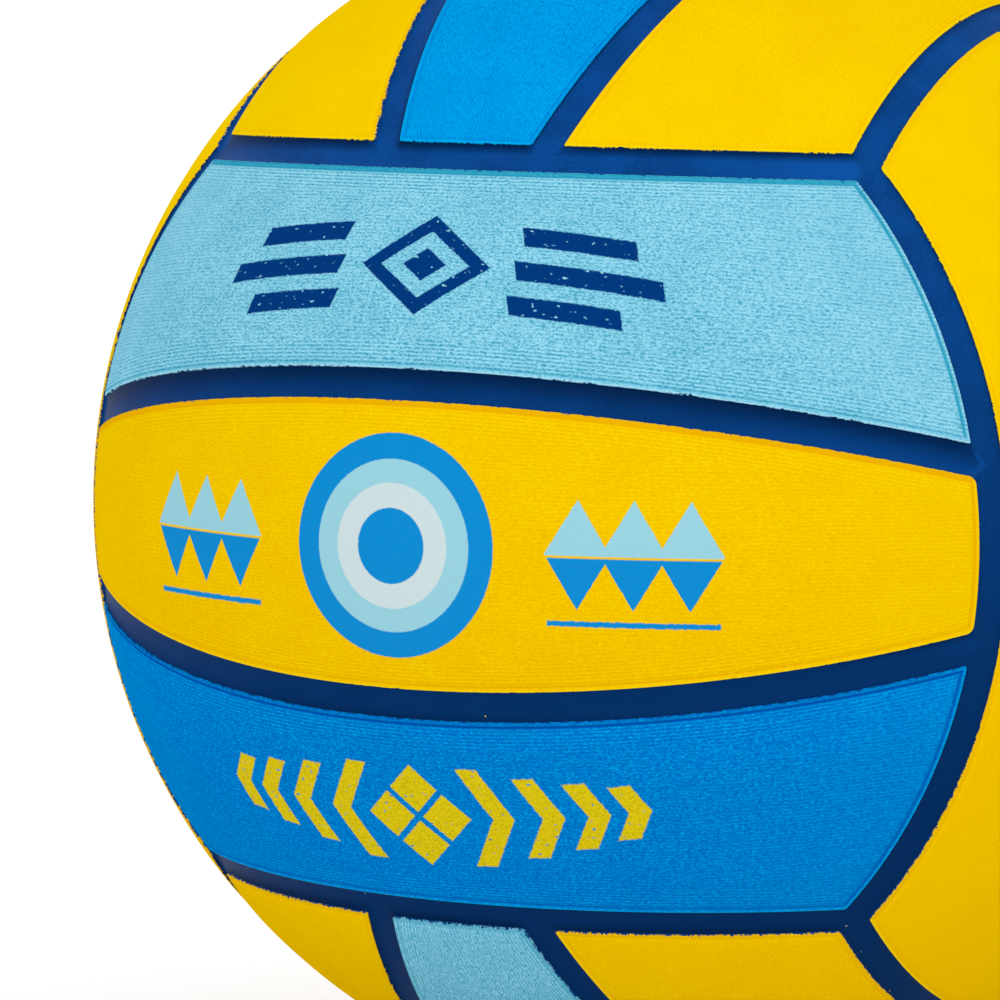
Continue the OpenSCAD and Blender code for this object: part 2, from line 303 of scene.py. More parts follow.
def round_hole(start, end, step, bore, pad):
    """Places of the lines where the panel has a hole: closer over it and round it."""
    inner = np.linspace(-bore, bore, HOLE_LINES)
    ring = np.linspace(bore, pad, RING_LINES)[1:]
    low, high = even(-pad, start, step), even(pad, end, step)
    return np.concatenate([low[::-1], -ring[::-1], inner, ring, high])


def even(start, end, step):
    """Places between two ends, without them, evenly apart by the step or less."""
    return np.linspace(start, end, 1 + math.ceil(abs(end - start) / step))[1:-1]


def crossings(rows, cols, corner_r, fade):
    """Points of the unit ball where the rows cross the columns. A line's plane is
    (1 - weight) * first wall's plane - weight * second wall's plane, and a point lies on two such
    planes and the ball. In a corner the insets x, y are drawn from the square onto the quarter circle
    of radius corner_r, by (r - x, r - y) * max(r - x, r - y) / |(r - x, r - y)|, fading outside it."""
    x, y = np.meshgrid(rows.inset, cols.inset, indexing="ij")
    p, q = corner_r - x, corner_r - y
    most, size = np.maximum(p, q), np.maximum(np.hypot(p, q), TINY)
    share = np.clip(1 - (most - corner_r) / fade, 0, 1) if fade else 1
    pull = np.where((p > 0) & (q > 0), 1 + share * (most / size - 1), 1)
    x, y = corner_r - p * pull, corner_r - q * pull
    planes = []
    for lines, inset, weight in ((rows, x, rows.weight[:, None]), (cols, y, cols.weight[None, :])):
        (n1, c1), (n2, c2) = lines.first.plane(inset), lines.second.plane(inset)
        planes.append(((1 - weight)[..., None] * n1 - weight[..., None] * n2,
                       (1 - weight) * c1 - weight * c2))
    (n1, c1), (n2, c2) = planes
    along = np.cross(n1, n2)
    square = (along ** 2).sum(-1)
    foot = (c1[..., None] * np.cross(n2, along) + c2[..., None] * np.cross(along, n1)) / square[..., None]
    rise = np.sqrt(np.maximum(1 - (foot ** 2).sum(-1), 0) / square) * np.sign(along[..., 2])
    return foot + rise[..., None] * along


def open_hole(points, rows, cols, bore, pad):
    """Draws the grid's squares about +Z onto circles, from the pad's edge in to the bore, by
    (p, q) * max(p, q) / |(p, q)|. Also which faces stay, and the distance from +Z."""
    p, q = np.meshgrid(cols.place, rows.place)
    most, size = np.maximum(np.abs(p), np.abs(q)), np.maximum(np.hypot(p, q), TINY)
    share = np.clip((pad - most) / (pad - bore), 0, 1)
    pull = share * (most / size - 1)
    moved = unit(points + np.stack([p * pull, q * pull, 0 * p], -1) / CROWN_R * (most < pad)[..., None])
    inside = most < bore + MISS
    stay = ~(inside[:-1, :-1] & inside[1:, :-1] & inside[:-1, 1:] & inside[1:, 1:])
    return moved, stay, np.hypot(p, q) * (1 - share) + most * share


def smooth(x, low, high):
    """0 below low, 1 above high and an even S between them."""
    t = np.clip((x - low) / (high - low), 0, 1)
    return t * t * (3 - 2 * t)


def slab(top, bottom, stay, values, uvs):
    """A closed shell of two grids, joined by walls along the outline and round a hole, as its points,
    faces, numbers and flat places. stay says which faces of the grid are kept, values are numbers for
    the points of the top and of the bottom, and uvs are flat places. Faces wind so that they point out."""
    rows, cols = top.shape[:2]
    index = np.arange(rows * cols).reshape(rows, cols)
    under = index + rows * cols

    def quads(grid):
        return np.stack([grid[:-1, :-1], grid[:-1, 1:], grid[1:, 1:], grid[1:, :-1]], -1)[stay]

    faces = [quads(index), quads(under)[:, ::-1]]
    tall = np.pad(stay, ((1, 1), (0, 0)))
    wide = np.pad(stay, ((0, 0), (1, 1)))
    for kept, line, turned in ((tall, index, False), (wide.T, index.T, True)):
        a, b = line[:, :-1], line[:, 1:]
        starts = kept[1:] & ~kept[:-1]
        ends = kept[:-1] & ~kept[1:]
        for edge, flip in ((starts, turned), (ends, not turned)):
            wall = np.stack([a[edge] + rows * cols, b[edge] + rows * cols, b[edge], a[edge]], -1)
            faces.append(wall[:, ::-1] if flip else wall)
    used, faces = np.unique(np.concatenate(faces), return_inverse=True)
    points = np.concatenate([top.reshape(-1, 3), bottom.reshape(-1, 3)])[used]
    numbers = {key: np.concatenate([part.ravel() for part in pair])[used] for key, pair in values.items()}
    flat = {key: np.concatenate([place.reshape(-1, 2)] * 2)[used] for key, place in uvs.items()}
    return points, faces.reshape(-1, 4), numbers, flat


def build_mesh(name, points, faces, values=(), uvs=()):
    """A mesh from points and four-cornered faces, with numbers and flat places at the points where
    given, and edges sharper than SHARP_ANGLE kept sharp."""
    mesh = bpy.data.meshes.new(name)
    mesh.vertices.add(len(points))
    mesh.vertices.foreach_set("co", points.astype(np.float32).ravel())
    mesh.loops.add(faces.size)
    mesh.loops.foreach_set("vertex_index", faces.astype(np.int32).ravel())
    mesh.polygons.add(len(faces))
    mesh.polygons.foreach_set("loop_start", np.arange(0, faces.size, 4, dtype=np.int32))
    mesh.update(calc_edges=True)
    for key, value in dict(values).items():
        mesh.attributes.new(key, "FLOAT", "POINT").data.foreach_set("value", value.astype(np.float32))
    for key, value in dict(uvs).items():
        layer = mesh.uv_layers.new(name=key, do_init=False)
        layer.uv.foreach_set("vector", value[faces.ravel()].astype(np.float32).ravel())
    mesh.shade_smooth()
    mesh.set_sharp_from_angle(angle=SHARP_ANGLE)
    if mesh.validate():
        raise RuntimeError(f"{name} has faces that Blender had to mend")
    return mesh


def add_object(name, data):
    """A new object in the scene."""
    item = bpy.data.objects.new(name, data)
    bpy.context.scene.collection.objects.link(item)
    return item


def add_piece(name, mesh, material, node):
    """Puts a mesh into the scene as a piece of the ball that replaces a CAD node."""
    piece = add_object(name, mesh)
    mesh.materials.append(material)
    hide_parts(node)
    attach(piece, BODY)


def group_matrix(turn, strip):
    """Turns a strip from its group's frame to its place on the ball."""
    spin = Euler([math.radians(a) for a in turn], "XYZ").to_matrix()
    return np.array(spin @ Matrix.Rotation(math.pi if strip < 0 else 0, 3, "Z"))


def rim_height(sizes, x):
    """Height over the crown at a distance x from the wall: a quarter round to the bead's top, then half
    waves into the groove and up to the crown."""
    round_x = np.clip(x / sizes.bead_x, 0, 1)
    bead = -sizes.bead_drop - (sizes.rim_drop - sizes.bead_drop) * (1 - np.sqrt(1 - (1 - round_x) ** 2))
    into = smooth(x, sizes.bead_x, sizes.groove_x)
    into = -sizes.bead_drop + (sizes.bead_drop - sizes.groove_drop) * into
    out = sizes.groove_drop * smooth(x, sizes.groove_x, sizes.field_x)
    return np.where(x < sizes.bead_x, bead, into + out)


def inwards(walls, rows, cols, points, matrix, blur):
    """Directions on the ball that lead inwards of the nearest wall, blended over a panel's corners."""
    low, high, left, right = walls
    across = np.where((rows.weight < 0.5)[:, None, None], low.inwards(points), high.inwards(points))
    lengthwise = np.where((cols.weight < 0.5)[None, :, None], left.inwards(points), right.inwards(points))
    behind = np.minimum(cols.edge, CORNER_REACH) - np.minimum(rows.edge, CORNER_REACH)[:, None]
    share = smooth(behind, -blur, blur)[..., None]
    return (across * share + lengthwise * (1 - share)) @ matrix.T


def strip_grid(sizes, name, insets, steps, fade):
    """A strip's grid on the unit ball, in its group's frame: walls, rows, columns, their crossings, which
    faces stay and, on the valve's panel, each crossing's distance from the valve. insets and steps are
    those of the rows and of the columns."""
    turn, strip, _ = PANELS[name]
    walls = low, high, left, right = strip_walls(sizes, strip)
    hole, radius = None, None
    if name == VALVE_PANEL:
        hole = sizes.neck_hole_d / 2, sizes.neck_pad_d / 2 + RING_PAST_PAD
    rows = Lines(low, high, (0, 1, 0), insets[0], steps[0], hole)
    cols = Lines(left, right, (1, 0, 0), insets[1], steps[1], hole)
    corner_r = sizes.corner_r if strip == 0 and turn in (FRONT, BACK) else sizes.tight_r
    points = crossings(rows, cols, corner_r, fade)
    stay = np.ones((len(rows.inset) - 1, len(cols.inset) - 1), bool)
    if hole:
        points, stay, radius = open_hole(points, rows, cols, *hole)
    return walls, rows, cols, points, stay, radius


def ridges(sizes, side, end, place):
    """Height of the ridges beside the long edges: ridge_h * (1 - cos(2 pi v / pitch)) / 2, v being the
    distance from the rim, faded to both sides and swelling along the strip."""
    v = np.where(np.isfinite(side), side, sizes.field_x) - sizes.field_x
    wave = 0.5 - 0.5 * np.cos(2 * math.pi * v / sizes.ridge_pitch)
    fade = smooth(side, sizes.field_x, 1.2 * sizes.field_x) * smooth(end, sizes.field_x, 2 * sizes.field_x)
    fade = fade * (1 - smooth(side, sizes.ridge_zone / 2, sizes.ridge_zone))
    swell = 0.75 + 0.25 * np.sin(place / RIDGE_SWELL)
    return sizes.ridge_h * wave * fade * swell


def valve_drop(sizes, radius):
    """Depth of the pad round the valve and of the hole's lip, by the distance from the valve."""
    pad_r, hole_r = sizes.neck_pad_d / 2, sizes.neck_hole_d / 2
    pad = 1 - smooth(radius, pad_r - PAD_SLOPE, pad_r + PAD_SLOPE)
    lip = 1 - smooth(radius, hole_r, hole_r + LIP_WIDTH)
    return sizes.neck_pad_drop * pad + LIP_DROP * lip


def cover_panel(context, name):
    """One cover panel: a top at the crown, changed by the rim, the ridges and the valve's pad and cut
    flat where the ball rests, over a bottom on a smaller ball."""
    sizes = context.scene.ball_sizes
    turn, strip, colour = PANELS[name]
    rim = sizes.field_x * RIM_SHARES
    ridge_rows = np.arange(sizes.field_x, sizes.ridge_zone, sizes.ridge_pitch / 4)[1:]
    insets = np.concatenate([rim, ridge_rows]), rim
    walls, rows, cols, points, stay, radius = strip_grid(sizes, name, insets, (ROW_STEP, COLUMN_STEP), 0)
    side, end = np.meshgrid(rows.edge, cols.edge, indexing="ij")
    close = np.minimum(side, end)
    height = rim_height(sizes, np.minimum(close, sizes.field_x)) + ridges(sizes, side, end, cols.place)
    if name == VALVE_PANEL:
        height = height - valve_drop(sizes, radius)
    matrix = group_matrix(turn, strip)
    top = (points * (CROWN_R + height)[..., None]) @ matrix.T
    bottom = (points * (CROWN_R - sizes.panel_t)) @ matrix.T
    if name == REST_PANEL:
        top[..., 2] = np.maximum(top[..., 2], sizes.contact_flat - CROWN_R)
    from_low, from_high, from_left, from_right = (wall.inset(points) / MM for wall in walls)
    side_mm, end_mm = np.minimum(from_low, from_high), np.minimum(from_left, from_right)
    edge_mm = np.where(np.isfinite(close), close / MM, np.minimum(side_mm, end_mm))
    # lee bakes the way to the light into the panel, to place painted shade and painted highlights on its
    # rim and walls
    lee = inwards(walls, rows, cols, points, matrix, PANEL_TURN) @ -SUNNY
    both = {"lee": lee, "side": side_mm, "end": end_mm, "across": (from_low - from_high) / 2}
    if name == VALVE_PANEL:
        both["valve"] = radius / MM
    values = {"edge": (edge_mm, edge_mm * 0 - 1)} | {key: (value, value) for key, value in both.items()}
    uvs = {
        "strip": np.stack(np.meshgrid(cols.place / MM, rows.place / MM), -1),
        "print": print_places(points, strip),
    }
    mesh = build_mesh(name + "_cover", *slab(top, bottom, stay, values, uvs))
    add_piece(name + "_cover", mesh, panel_material(context, name, colour), name)


def print_places(points, strip):
    """Flat places in millimetres about the middle of a strip's print: the longitude and the latitude
    there, times the ball's radius."""
    flip = -1 if strip < 0 else 1
    middle = PRINT_TILT * strip
    x, y, z = points[..., 0] * flip, points[..., 1] * flip, points[..., 2]
    y, z = y * math.cos(middle) - z * math.sin(middle), y * math.sin(middle) + z * math.cos(middle)
    return np.stack([np.arctan2(x, z), np.arcsin(np.clip(y, -1, 1))], -1) * CROWN_R / MM


def carcass_cell(sizes, name):
    """The carcass under one panel, out to the middles of the channels round it, whose floor rises
    towards the panel by rib_fillet * (1 - x / reach)^4, x being the distance from the panel."""
    turn, strip, _ = PANELS[name]
    half, gap = sizes.channel_w / 2, sizes.bond_gap
    reach = half - gap
    insets = np.append(reach * CHANNEL_SHARES - half, SEAT_WALL - gap)
    walls, rows, cols, points, stay, _ = strip_grid(sizes, name, (insets,) * 2, (CARCASS_STEP,) * 2, half)
    near = np.minimum.outer(rows.edge, cols.edge)
    in_channel = near <= MISS - gap
    x = np.clip((-near - gap) / reach, 0, 1)
    floor = CROWN_R - sizes.rib_drop + sizes.rib_fillet * (1 - x) ** 4
    tray = CROWN_R - sizes.panel_t - gap
    top = points * np.where(in_channel, floor, tray)[..., None]
    bottom = points * (tray - sizes.carcass_t)
    depth = np.where(in_channel, -near / MM, 0)
    matrix = group_matrix(turn, strip)
    lead = inwards(walls, rows, cols, points, matrix, CHANNEL_TURN)
    # lee bakes the way to the light into the channel floor, to place its painted shadow; on the lower part
    # of the ball its upright part is flipped, as if lit from the floor
    upward = smooth((points @ matrix.T)[..., 2], -0.4, 0) * 2 - 1
    lee = lead[..., :2] @ SUNNY[:2] + lead[..., 2] * SUNNY[2] * upward
    return top @ matrix.T, bottom @ matrix.T, stay, {"channel": (depth, depth * 0), "lee": (lee, lee * 0)}


def carcass(context):
    """The carcass, eighteen closed cells that meet along the middles of the channels."""
    sizes = context.scene.ball_sizes
    cells = [slab(*carcass_cell(sizes, name), {}) for name in PANELS]
    starts = np.cumsum([0] + [len(points) for points, *_ in cells[:-1]])
    points = np.concatenate([cell[0] for cell in cells])
    faces = np.concatenate([cell[1] + start for cell, start in zip(cells, starts)])
    values = {key: np.concatenate([cell[2][key] for cell in cells]) for key in ("channel", "lee")}
    mesh = build_mesh("carcass_ribbed", points, faces, values)
    add_piece("carcass_ribbed", mesh, carcass_material(context), "carcass")


# Materials

class Term:
    """A number in a node tree, so that a pattern can be written down as a sum."""

    def __init__(self, tree, socket):
        self.tree, self.socket = tree, socket

    def join(self, operation, *others):
        """The result of a mathematical operation."""
        node = new_node(self.tree, "Math", ("operation", operation))
        for socket, value in zip(node.inputs, (self, *others)):
            feed(self.tree, socket, value)
        return Term(self.tree, node.outputs[0])

    __add__ = partialmethod(join, "ADD")
    __sub__ = partialmethod(join, "SUBTRACT")
    __mul__ = partialmethod(join, "MULTIPLY")
    __neg__ = partialmethod(join, "MULTIPLY", -1)
    __abs__ = partialmethod(join, "ABSOLUTE")
    least = partialmethod(join, "MINIMUM")
    most = partialmethod(join, "MAXIMUM")
    root = partialmethod(join, "SQRT")
    cosine = partialmethod(join, "COSINE")

    def step(self, low, high):
        """0 below low, 1 above high and an even S between them. low may be above high."""
        falls = int(low > high)
        node = new_node(self.tree, "MapRange", ("interpolation_type", "SMOOTHSTEP"), Value=self,
                        From_Min=min(low, high), From_Max=max(low, high), To_Min=falls, To_Max=1 - falls)
        return Term(self.tree, node.outputs[0])


def feed(tree, socket, value):
    """Links a term or a socket to a node's input, or sets the input to a plain value."""
    if isinstance(value, Term):
        tree.links.new(value.socket, socket)
    elif isinstance(value, bpy.types.NodeSocket):
        tree.links.new(value, socket)
    else:
        socket.default_value = value


def set_inputs(tree, node, inputs):
    """Feeds a node's inputs, given by name with _ for a space."""
    for key, value in inputs.items():
        feed(tree, node.inputs[key.replace("_", " ")], value)


def new_node(tree, kind, setting=None, **inputs):
    """A new shader node. setting is one of its properties with its value, set before the inputs."""
    node = tree.nodes.new("ShaderNode" + kind)
    if setting:
        setattr(node, *setting)
    set_inputs(tree, node, inputs)
    return node


def attribute(tree, name):
    """A number that the mesh holds at each point."""
    return Term(tree, new_node(tree, "Attribute", ("attribute_name", name)).outputs["Fac"])


def axes(tree, at):
    """The three coordinates of a place."""
    return [Term(tree, socket) for socket in new_node(tree, "SeparateXYZ", Vector=at).outputs]


def places(tree, name):
    """The two flat coordinates of a UV map, in millimetres."""
    return axes(tree, new_node(tree, "UVMap", ("uv_map", name)).outputs[0])[:2]


def object_mm(tree):
    """Object coordinates in millimetres."""
    place = new_node(tree, "TexCoord").outputs["Object"]
    return new_node(tree, "VectorMath", ("operation", "SCALE"), Vector=place, Scale=1 / MM).outputs[0]


def noise(tree, at, scale, detail, roughness=0.5):
    """Soft noise from 0 to 1, scale times as fine as a unit of the place."""
    node = new_node(tree, "TexNoise", Vector=at, Scale=scale, Detail=detail, Roughness=roughness)
    return Term(tree, node.outputs[0])


def blend(tree, share, first, second):
    """Colour first where share is 0 and colour second where it is 1."""
    node = new_node(tree, "Mix", ("data_type", "RGBA"))
    for key, value in (("Factor_Float", share), ("A_Color", first), ("B_Color", second)):
        socket = next(s for s in node.inputs if s.identifier == key)
        feed(tree, socket, (*value, 1) if isinstance(value, tuple) else value)
    return next(s for s in node.outputs if s.identifier == "Result_Color")


def shade(value, factor):
    """A colour made darker or lighter by a factor."""
    return tuple(channel * factor for channel in value)


def new_material(name, **inputs):
    """A new material, its tree and its shader, whose inputs are given by name with _ for a space."""
    material = bpy.data.materials.new(name)
    material.use_nodes = True
    tree = material.node_tree
    shader = next(n for n in tree.nodes if n.type == "BSDF_PRINCIPLED")
    set_inputs(tree, shader, inputs)
    return material, tree, shader


def finish_rubber(tree, shader, colour, height, depth=1):
    """Sets the colour and turns a height in millimetres into relief."""
    feed(tree, shader.inputs["Base Color"], colour)
    bump = new_node(tree, "Bump", Distance=MM, Strength=depth, Height=height)
    tree.links.new(bump.outputs[0], shader.inputs["Normal"])


class Marks:
    """What a panel's patterns are drawn from. In millimetres: edge, side and end are the distances from
    the nearest wall, long wall and end, along and across the place on the strip, solid and height the
    place in the ball. lee runs from 1 at the panel's sunny side to -1. The others are noises about 0."""

    def __init__(self, tree):
        self.tree = tree
        self.solid = object_mm(tree)
        self.height = axes(tree, self.solid)[2]
        self.edge, self.side, self.end = (attribute(tree, key) for key in ("edge", "side", "end"))
        self.along, self.across = places(tree, "strip")[0], attribute(tree, "across")
        self.lee = attribute(tree, "lee")
        self.sway = noise(tree, self.solid, 0.1, 1) - 0.5
        self.stroke = self.drawn_out(1.2, 3.4, self.sway * 3, 0, 0.6)
        self.streak = self.drawn_out(0.1, 0.7, self.sway * 2, 3, 0.5)
        self.patch = self.drawn_out(0.6, 1.2, 0, 7, 0.6)
        self.grain = noise(tree, self.solid, 2.6, 1) - 0.5
        self.fine = noise(tree, self.solid, 4, 0) - 0.5

    def drawn_out(self, along, across, sway, layer, roughness):
        """Noise that is coarser along the strip than across it. layer keeps it unlike the others."""
        at = new_node(self.tree, "CombineXYZ", X=self.along * along, Y=self.across * across + sway, Z=layer)
        return noise(self.tree, at.outputs[0], 1, 1, roughness) - 0.5


def moulded_hollows(marks, sizes, look, lively):
    """From 0 on a crest to 1 in a hollow: ridges along the strip, whole near its edges and ends and torn
    into strokes in its middle, with grain, and painted shade that grows towards the ball's underside."""
    turns = 2 * math.pi * MM / sizes.ridge_pitch
    near_side = marks.side.step(7.5, 3.5)
    near_end = marks.end.step(36, 6)
    along = (marks.across * turns + marks.sway * 9 + marks.stroke * (near_end * -3 + 5)).cosine()
    beside = (marks.side * turns - turns * sizes.field_x / MM + marks.stroke * 1.6).cosine()
    lines = along + (beside - along) * near_side
    whole = (near_side * 0.42).most(near_end * 0.2) + look.lined
    torn = marks.stroke * -4.2 + marks.patch * 1.2 + marks.streak * 0.7
    grained = marks.grain * 2.4 + marks.fine * 1.4
    hollow = (lines * whole + torn + grained) * (near_end * -0.3 + 1) * (look.contrast * lively)
    # Painted shade, darker towards the ball's underside, where less light falls
    below = marks.height.step(60, -50) - 0.25
    return (hollow - near_end * 0.12 + below * look.lower).step(-1.1, 1.65)


def rim_groove(marks, look, rimmed):
    """How much of the groove's painted shade shows along the rim: more on the side that the light comes
    from, where the bead would shade it.
    """
    # Painted shade: the groove's shade widens on the side that the light comes from
    painted_shade = marks.lee.step(0.25, 0.45) * look.sunk
    groove = (marks.edge + painted_shade * 0.5).step(0.4, 0.8) * marks.edge.step(1.4, 0.95)
    uneven = marks.stroke.step(-0.3, 0.2) * 0.3 + 0.7
    return groove * (marks.lee.step(-0.8, 0.2) * 0.6 + 0.4) * uneven * (look.rimmed * rimmed)


def with_walls(marks, look, colour, high, navy):
    """Adds a painted highlight on the bead's edge on the side away from the light, and the navy rubber that
    covers the walls up to a ragged line, darker with painted shade on that same side."""
    tree = marks.tree
    # Painted highlight on the bead's edge, on the side away from the light
    bead = (marks.edge + marks.grain * 0.4).step(0.5, 0.25) * marks.lee.step(0.1, -0.4) * 0.9
    colour = blend(tree, bead, colour, tuple(0.1 * channel ** 0.3 + 0.9 * channel for channel in high))
    fray = (marks.sway.step(-0.1, 0.12) * 0.5 + marks.lee.step(0.1, 0.5) * 0.5) * look.frayed + 0.03
    ragged = (marks.patch * 2.5 + marks.grain + marks.fine * 1.4) * fray
    # Painted shade: the navy on walls on the side away from the light is darker
    foot = blend(tree, marks.lee.step(0, 0.4), shade(navy, 0.4), navy)
    return blend(tree, (marks.edge + ragged).step(0.1, 0), colour, foot)


def panel_material(context, name, colour):
    """Moulded rubber of a panel: a deeper colour in the hollows, partly the rubber's tone and partly
    painted shade, painted shade in the rim's groove, the print of the front group, a painted highlight on
    the bead and navy rubber up the walls, with painted shade on the walls away from the light. Like panels
    share a material."""
    turn, _, _ = PANELS[name]
    title = f"rubber_{colour}" + ("_valve" if name == VALVE_PANEL else KINDS.get(turn, ""))
    if title in bpy.data.materials:
        return bpy.data.materials[title]
    colours, sizes, look = context.scene.ball_colours, context.scene.ball_sizes, LOOKS[colour]
    high, deep, rim = (tuple(getattr(colours, colour + end)) for end in ("", "_deep", "_rim"))
    material, tree, shader = new_material(title, Roughness=0.6, Specular_IOR_Level=0, Sheen_Weight=0.35,
                                          Sheen_Roughness=0.25, Sheen_Tint=(*high, 1))
    marks = Marks(tree)
    hollow = moulded_hollows(marks, sizes, look, 0.55 if turn in (RIGHT, LEFT) else 1)
    if name == VALVE_PANEL:
        pad = sizes.neck_pad_d / MM / 2
        hollow = (hollow - 0.4) * attribute(tree, "valve").step(pad - 1, pad + 1) + 0.4
    # Deep colour in the hollows: the rubber's tone with painted shade
    out = blend(tree, hollow, high, deep)
    out = blend(tree, marks.sway.step(-0.2, 0.25) * 0.15, out, shade(deep, 0.97))
    # Painted shade in the rim's groove
    out = blend(tree, rim_groove(marks, look, 1 if turn in (FRONT, BACK) else 0.25), out, rim)
    if turn == FRONT:
        # Painted shade in the hollows, over the print too
        out = blend(tree, hollow * 0.07, Print(marks, colours).laid_on(name, out), shade(deep, 0.2))
    out = with_walls(marks, look, out, high, tuple(colours.navy))
    relief = hollow * -0.025 + marks.grain * 0.05 + marks.fine * 0.05
    finish_rubber(tree, shader, out, relief, look.depth)
    return material


class Print:
    """The prints of the front group. A shape is the distance in millimetres from its outline, below 0
    inside it and made ragged by the grain, and is mirrored to the strip's other side."""

    def __init__(self, marks, colours):
        self.tree, self.colours, self.grain = marks.tree, colours, marks.grain
        self.x, self.y = places(marks.tree, "print")
        self.away = abs(self.x)
        self.rough = marks.patch * 0.35 + marks.grain * 0.45
        self.worn = marks.patch.step(-0.26, -0.16)

    def bar(self, middle, half, slant=0):
        """A bar about its middle, which leans by slant across for each unit up."""
        up = self.y - middle[1]
        long = abs(self.away - middle[0] - up * slant) - half[0]
        return long.most(abs(up) - half[1]) + self.rough

    def lozenge(self, middle, half):
        """A lozenge about its middle, |x| / half width + |y| / half height = 1."""
        across, up = abs(self.away - middle[0]), abs(self.y - middle[1])
        return across * (half[1] / half[0]) + up - half[1] + self.rough

    def ink(self, shape, colour, under, cover=1):
        """A shape printed over a colour."""
        share = shape.step(0.12, -0.12) * cover
        return blend(self.tree, share, under, tuple(getattr(self.colours, colour)))

    def laid_on(self, name, base):
        """The print of one panel, over its rubber."""
        draw = {"front_upper_panel": self.framed_bars, "front_middle_panel": self.disc_and_teeth}
        return draw.get(name, self.chevrons)(base)

    def framed_bars(self, base):
        """A lozenge in a lozenge frame, between slanted bars."""
        centre = (0, 0)
        shape = self.lozenge(centre, FRAME).most(-self.lozenge(centre, FRAME_HOLE) + self.rough * 2)
        shape = shape.least(self.lozenge(centre, FRAME_CORE))
        for up, reach in BARS:
            half = (reach / 2, BAR_HALF)
            shape = shape.least(self.bar((BARS_START + half[0], up), half, BAR_SLANT))
        return self.ink(shape, "ink_blue", base, self.worn)

    def disc_and_teeth(self, base):
        """Discs, one on the other, between rows of lozenges in two inks with a line under them."""
        radius = (self.x * self.x + self.y * self.y).root() + self.rough * 0.4
        out = base
        for disc, colour in DISCS:
            out = self.ink(radius - disc, colour, out)
        for across in TEETH:
            shape = self.lozenge((across, 0), TOOTH)
            out = self.ink(shape.most(-self.y + TOOTH_ENDS[0]), "ink_pale", out)
            out = self.ink(shape.most(self.y - TOOTH_ENDS[1]), "ink_mid", out)
        return self.ink(self.bar(LINE_PLACE, LINE_HALF), "ink_mid", out)

    def chevrons(self, base):
        """Chevrons that shrink outwards, and squares in the middle, in ink that is thin in places."""
        shape = self.lozenge(SQUARES[0], SQUARE_HALF)
        for middle in SQUARES[1:]:
            shape = shape.least(self.lozenge(middle, SQUARE_HALF))
        for tip, tall in CHEVRONS:
            fold = abs(self.away + abs(self.y) * CHEVRON_SLANT - tip) - CHEVRON_HALF
            shape = shape.least(fold.most(abs(self.y) - tall) + self.rough)
        full = tuple(self.colours.ink_yellow)
        thin = blend(self.tree, self.grain.step(-0.2, 0.1), shade(full, 0.75), full)
        return blend(self.tree, shape.step(0.15, -0.2) * self.worn, base, thin)


def carcass_material(context):
    """Navy rubber with a faint cloud, fine grain and stray specks of panel rubber, with painted light: a
    painted sheen in the channels across the light at the right of the camera's view, painted shade towards
    the bottom and close to the walls, and a painted shadow by the wall that keeps light off."""
    colours = context.scene.ball_colours
    navy = tuple(colours.navy)
    half = context.scene.ball_sizes.channel_w / MM / 2
    material, tree, shader = new_material("rubber_navy", Roughness=0.42, Specular_IOR_Level=0.01)
    solid = object_mm(tree)
    x, y, z = axes(tree, solid)
    cloud = noise(tree, solid, 0.12, 1)
    grain = noise(tree, solid, 2.4, 2, 0.6)
    colour = blend(tree, cloud.step(0.35, 0.65), shade(navy, 0.86), shade(navy, 1.06))
    lee, depth = attribute(tree, "lee"), attribute(tree, "channel")
    pictured_right = x * 0.88 + y * 0.47
    # Painted sheen: paler in the channels across the light, on the right of the camera's view
    lit = pictured_right.step(-10, 35) * abs(lee).step(0.3, 0.6)
    # Painted shadow across each channel, darkest by the wall between the floor and the light
    place = (depth - half) * (lee.step(-0.05, 0.05) * 2 - 1) + half
    steep = abs(lee).step(0.9, 0.5) * 0.4 + 0.16
    painted_shade = (place * steep).step(1, 0) * abs(lee).step(0.15, 0.6)
    # Lighter grain specks, then painted sheen, painted shade towards the bottom, painted shade close to the
    # walls and the painted shadow
    for share, factor in ((grain.step(0.45, 0.75) * 0.5, 1.7), (lit, 1.6), (z.step(80, -50), 0.47),
                          (depth.step(0.7, 0) * 0.4, 0.4), (painted_shade * 0.9, 0.25)):
        colour = blend(tree, share, colour, shade(navy, factor))
    colour = with_specks(tree, solid, colour, tuple(colours.light_blue), tuple(colours.yellow))
    finish_rubber(tree, shader, colour, grain * 0.02)
    return material


def with_specks(tree, at, colour, first, second):
    """Adds specks of two colours, in the middles of a few cells of a random pattern."""
    cells = new_node(tree, "TexVoronoi", Vector=at, Scale=0.45)
    split = new_node(tree, "SeparateColor", Color=cells.outputs["Color"])
    chosen, which, _ = (Term(tree, socket) for socket in split.outputs)
    speck = Term(tree, cells.outputs["Distance"]).step(0.07, 0.045) * chosen.step(0.93, 0.935)
    return blend(tree, speck * 0.8, colour, blend(tree, which.step(0.4, 0.41), first, second))


def moulded_material(name, colour, roughness):
    """Plain moulded rubber of the valve and the bladder, with fine grain and a faint cloud."""
    material, tree, shader = new_material(name, Roughness=roughness, Specular_IOR_Level=0.4)
    solid = object_mm(tree)
    cloud = noise(tree, solid, 0.25, 3)
    out = blend(tree, cloud.step(0.3, 0.7), shade(colour, 0.8), shade(colour, 1.15))
    finish_rubber(tree, shader, out, noise(tree, solid, 2.5, 3) * 0.02)
    return material


